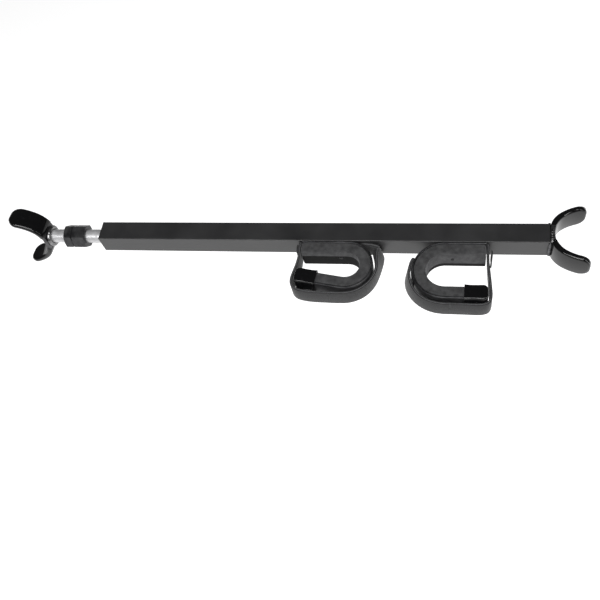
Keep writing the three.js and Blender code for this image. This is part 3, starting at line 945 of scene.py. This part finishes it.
def drill_access(pad, hook):
    """The hole through the pad, by which the hook's screw is reached."""
    low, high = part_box(f"{hook['name']}_hook_screw")
    bpy.ops.object.select_all(action="DESELECT")
    bpy.ops.mesh.primitive_cylinder_add(
        vertices=24, radius=2.3 * MM, depth=3 * PAD["thick"], rotation=(math.pi / 2, 0, 0),
        location=((low.x + high.x) / 2, low.y - PAD["thick"], (low.z + high.z) / 2),
    )
    bit = bpy.context.object
    head, depth, clear = high.x - low.x, 8 * MM, 0.3 * MM
    bpy.ops.mesh.primitive_cylinder_add(
        vertices=24, radius=head / 2 + clear, depth=depth, rotation=(math.pi / 2, 0, 0),
        location=((low.x + high.x) / 2, low.y + depth / 2 - clear, (low.z + high.z) / 2),
    )
    counterbore = bpy.context.object
    for tool in (bit, counterbore):
        hole = pad.modifiers.new("screw access", "BOOLEAN")
        hole.operation = "DIFFERENCE"
        hole.object = tool
        finish_modifiers(pad)
        bpy.data.objects.remove(tool)


def make_cap(hook, vinyl):
    """A dipped cap on the lower leg's end: a rounded block, hollowed and turned to the leg."""
    grow = CAP["gap"] + CAP["wall"]
    thick = BAND["thick"] + PAD["gap"] + PAD["thick"] + 2 * grow
    width = BAND["width"] + 2 * grow
    cap = rounded_block(f"{hook['name']}_end_cap", CAP["length"], thick, width, CAP["corner"], CAP["edge"])
    room = rounded_block(
        "room", CAP["length"], thick - 2 * CAP["wall"], width - 2 * CAP["wall"], CAP["corner"] / 2, 1 * MM,
    )
    room.data.transform(Matrix.Translation((-CAP["wall"], 0, 0)))
    hollow = cap.modifiers.new("room for the leg", "BOOLEAN")
    hollow.operation = "DIFFERENCE"
    hollow.object = room
    finish_modifiers(cap)
    bpy.data.objects.remove(room)
    swell_cap(cap, thick, width)
    path = hook_path(hook)
    inner = BAND["thick"] / 2 + PAD["gap"] + PAD["thick"] + grow
    outer = -BAND["thick"] / 2 - grow
    co = coordinates(cap)
    co[:, 0] += path_length(path) + grow - CAP["length"]
    co[:, 1] += (inner + outer) / 2
    set_coordinates(cap, co)
    follow(cap, path)
    on_hook(cap, hook, HOOK_RISE)
    smooth(cap, 35)
    finished(cap, "bar", "vinyl", [vinyl], f"{hook['name']}_hook_cap")


def rounded_block(name, length, thick, width, corner, edge):
    """A block from x = 0 to length whose far end is rounded across z and whose outlines are softened."""
    bpy.ops.object.select_all(action="DESELECT")
    bpy.ops.mesh.primitive_cube_add(size=1, location=(length / 2, 0, 0))
    block = bpy.context.object
    block.name = name
    block.scale = (length, thick, width)
    bpy.ops.object.transform_apply(location=True, rotation=True, scale=True)
    open_piece(block)
    pick_edges(block, lambda a, b: a.x > length - TINY and b.x > length - TINY and abs(a.z - b.z) > TINY)
    bpy.ops.mesh.bevel(offset=corner, segments=8, affect="EDGES")
    pick_edges(block, lambda a, b: abs(a.z - b.z) < TINY and not (a.x < TINY and b.x < TINY))
    bpy.ops.mesh.bevel(offset=edge, segments=5, affect="EDGES")
    pick_edges(block, lambda a, b: abs(a.z - b.z) > width / 2 and a.x < TINY and b.x < TINY)
    bpy.ops.mesh.bevel(offset=edge, segments=4, affect="EDGES")
    cuts = 8
    for k in range(1, cuts):
        bpy.ops.mesh.select_all(action="SELECT")
        bpy.ops.mesh.bisect(plane_co=(k * length / cuts, 0, 0), plane_no=(1, 0, 0))
    close_piece()
    return block


def swell_cap(cap, thick, width):
    """A hand-dipped cap: a rolled lip at its mouth, and sides that draw in a little behind it."""
    lip, waist = 0.25 * MM, 0.3 * MM
    co = coordinates(cap)
    near = np.exp(-((co[:, 0] / (1.2 * MM)) ** 2))
    middle = np.exp(-(((co[:, 0] - CAP["length"] * 0.4) / (6 * MM)) ** 2))
    for column, size in ((1, thick), (2, width)):
        outside = np.abs(co[:, column]) > size / 2 - CAP["wall"] * 0.6
        co[:, column] += np.where(outside, np.sign(co[:, column]) * (lip * near - waist * middle), 0)
    set_coordinates(cap, co)


def make_hooks(steel, felt, painted_shade_felt, vinyl):
    for hook in HOOKS.values():
        make_band(hook, steel)
        make_pad(hook, felt, painted_shade_felt)
        make_cap(hook, vinyl)


# ---- straps ----

def strap(name, path, layers, hook, body, materials, *replaced, ends=(0, 0), bridge=0, lean=None):
    """A strap of one or more layers, each (offset from the path, thickness, width, material index).
    The facing between two layers runs past the strap's end by bridge, so that a split stays closed."""
    parts = []
    for k, (offset, thick, width, material) in enumerate(layers):
        longer = bridge if material == 1 else STRAP["overlap"] if bridge > 0 else 0
        layer = plate(
            f"{name}_{k}", path_length(path) + longer, thick, width, min(0.35 * MM, thick * 0.4),
            end_corner=ends[1], start_corner=ends[0],
        )
        slice_along(layer, BEND_STEP)
        mark_weave(layer)
        co = coordinates(layer)
        if lean:
            top_shift, low_shift, peak, spread, inner_more = lean
            high_edge = 0.5 + co[:, 2] / STRAP["width"]
            if offset > 0:
                top_shift *= inner_more
            shift = top_shift * high_edge + low_shift * (1 - high_edge)
            co[:, 1] += shift * np.exp(-(((co[:, 0] - peak) / spread) ** 2))
        co[:, 1] += offset
        co[:, 2] -= STRAP["drop"]
        set_coordinates(layer, co)
        follow(layer, path)
        for face in layer.data.polygons:
            face.material_index = material
        parts.append(layer)
    bpy.ops.object.select_all(action="DESELECT")
    for material in materials:
        for part in parts:
            part.data.materials.append(material)
    for part in parts:
        part.select_set(True)
    bpy.context.view_layer.objects.active = parts[0]
    if len(parts) > 1:
        bpy.ops.object.join()
    piece = parts[0]
    piece.name = name
    on_hook(piece, hook)
    smooth(piece, 40)
    return finished(piece, body, "webbing", [], *replaced)


def anchor_path(hook):
    radius = hook["radius"] + PAD["gap"] + STRAP["anchor"] / 2
    path = [(hook["upper"] + 0.2 * MM, radius)]
    if "anchor_bend" in hook:
        for a in np.radians(np.linspace(90, hook["anchor_bend"], 50)):
            path.append((radius * math.cos(a), radius * math.sin(a)))
    else:
        path.append((hook["anchor_leg"], radius))
    return path


def make_straps(web, facing):
    offset = (STRAP["web"] + STRAP["facing"]) / 2 + 0.05 * MM
    doubled = [
        (-offset, STRAP["web"], STRAP["width"], 0),
        (0, STRAP["facing"], STRAP["width"] + 0.4 * MM, 1),
        (offset, STRAP["web"], STRAP["width"], 0),
    ]
    single = [(0, 1.6 * MM, STRAP["width"], 0)]
    for name, hook in HOOKS.items():
        cloths = [web, facing]
        flap_body = f"{name}_flap"
        flat = [(0, STRAP["anchor"] - 0.1 * MM, STRAP["width"], 0)]
        strap(f"{name}_anchor_web", anchor_path(hook), flat, hook, "bar", cloths, f"{name}_strap_anchor")
        strap(
            f"{name}_wrap_web", smooth_route(hook["wrap"]), doubled, hook, "bar", cloths,
            f"{name}_strap_wrap", ends=(6 * MM, 0), bridge=STRAP["bridge"], lean=hook["lean"],
        )
        strap(
            f"{name}_flap_web", smooth_route(hook["flap"]), doubled, hook, flap_body, cloths,
            f"{name}_strap_flap", bridge=-STRAP["bridge"], lean=hook["flap_lean"],
        )
        strap(
            f"{name}_keeper_web", smooth_route(hook["keeper"]), single, hook, flap_body, cloths,
            f"{name}_strap_keeper", ends=(2 * MM, 2 * MM),
        )


# ---- the whole bar ----

def main():
    make_camera()
    make_studio()

    coat = powder_coat()
    zinc = metal("zinc_plate", (0.36, 0.36, 0.365), (0.52, 0.52, 0.53), 0.3, 0.5, 0.5, 700, 0.12)
    oxide = metal("black_oxide", (0.022, 0.022, 0.024), (0.07, 0.07, 0.072), 0.25, 0.55, 0.75, 500, 0.3)
    steel = metal("bare_steel", (0.03, 0.03, 0.032), (0.16, 0.16, 0.165), 0.35, 0.6, 0.9, 600, 0.4)
    weld = metal("weld_bead", (0.06, 0.06, 0.062), (0.34, 0.34, 0.34), 0.18, 0.4, 1.0, 500, 0.5)
    vinyl = moulded("dipped_vinyl", (0.003, 0.003, 0.0032), 0.05, 0.14, 0.1, 0.1)
    plastic = moulded("bushing_plastic", (0.012, 0.012, 0.013), 0.35, 0.55, 0, 0.2)
    felt = foam_felt("foam_felt", (0.015, 0.015, 0.0155), (0.05, 0.05, 0.051), 0.22)
    # A near-black copy of the foam finish, with no sheen: painted shade for the lower inner face of the hook
    # linings.
    painted_shade_felt = foam_felt("painted_shade_felt", (0.0006, 0.0006, 0.0006), (0.003, 0.003, 0.003), 0)
    web = woven("strap_web", (0.006, 0.006, 0.0065), (0.034, 0.034, 0.035))
    facing = woven("strap_facing", (0.04, 0.04, 0.042), (0.13, 0.13, 0.135))

    finishes = {
        coat: ["main_tube"],
        zinc: ["rod_collar_outer", "rod_collar_inner", "left_hook_washer",
               "left_hook_nut", "right_hook_washer", "right_hook_nut"],
        oxide: ["adjusting_nut", "jam_nut", "left_hook_screw", "right_hook_screw"],
        steel: ["fixed_saddle_bar", "swivel_saddle_bar"],
        plastic: ["end_bushing", "rod_guide"],
    }
    for material, names in finishes.items():
        for name in names:
            nodes_cad[name].data.materials.clear()
            nodes_cad[name].data.materials.append(material)

    make_rod(zinc)
    make_welds(weld, steel)
    make_saddles(vinyl)
    make_hooks(oxide, felt, painted_shade_felt, vinyl)
    make_straps(web, facing)


main()
